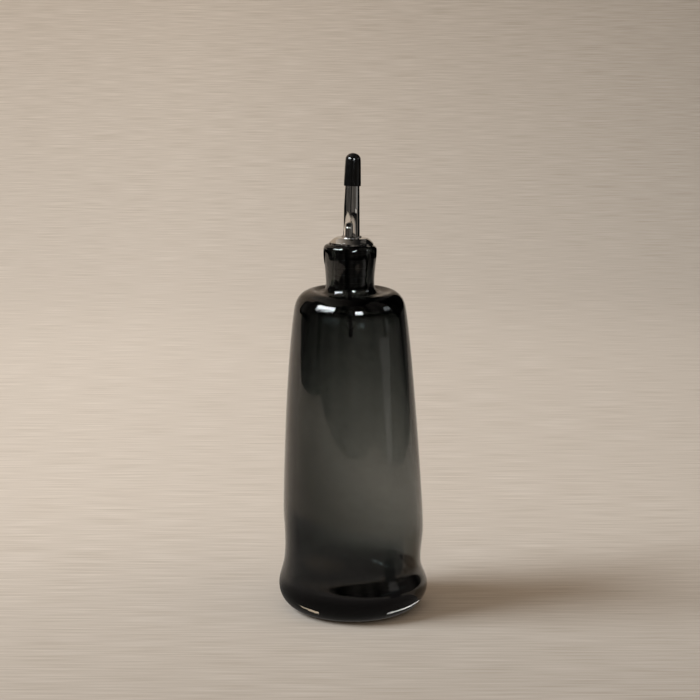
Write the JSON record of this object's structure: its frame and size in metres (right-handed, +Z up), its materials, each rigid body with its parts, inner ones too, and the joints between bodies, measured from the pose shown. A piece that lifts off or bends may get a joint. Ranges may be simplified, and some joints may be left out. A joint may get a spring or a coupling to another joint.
{
  "type": "oil cruet",
  "caption": "Hand-blown smoked glass oil cruet with a waisted round body, a short neck and a steel pourer in a finned stopper, its slim spout closed by a rubber tip cap.",
  "frame": {"origin": "centre of the flat ring that the bottle stands on, at the standing surface", "axes": "+Z up along the bottle; -Y is the side the vent pipe faces; +X to the right seen from there"},
  "size_m": [0.0826, 0.0826, 0.2541],
  "materials": {
    "smoked_glass": "clear smoke-grey blown glass, glossy, faintly uneven",
    "polished_steel": "mirror-polished stainless steel with fine handling scratches",
    "tube_steel": "drawn stainless tube, satin",
    "stopper_rubber": "moulded soft black, matt",
    "cap_rubber": "dipped black rubber, satin"
  },
  "bodies": {
    "bottle": {"glass_bottle": "smoked_glass"},
    "stopper": {"stopper": "stopper_rubber"},
    "pourer": {"collar": "polished_steel", "shank_tube": "tube_steel", "spout_tube": "polished_steel", "vent_pipe": "polished_steel", "breather_tube": "tube_steel"},
    "cap": {"tip_cap": "cap_rubber"}
  },
  "joints": [
    {"name": "stopper_pull", "type": "slide", "parent": "bottle", "child": "stopper", "axis": [0.0285, 0.0439, 0.9986], "range_m": [0, 0.065]},
    {"name": "spout_turn", "type": "hinge", "parent": "stopper", "child": "pourer", "pos_m": [-0.00071, 0.00106, 0.2044], "axis": [0.0285, 0.0439, 0.9986], "continuous": true},
    {"name": "cap_pull", "type": "slide", "parent": "pourer", "child": "cap", "axis": [0.0285, 0.0439, 0.9986], "range_m": [0, 0.02]}
  ]
}
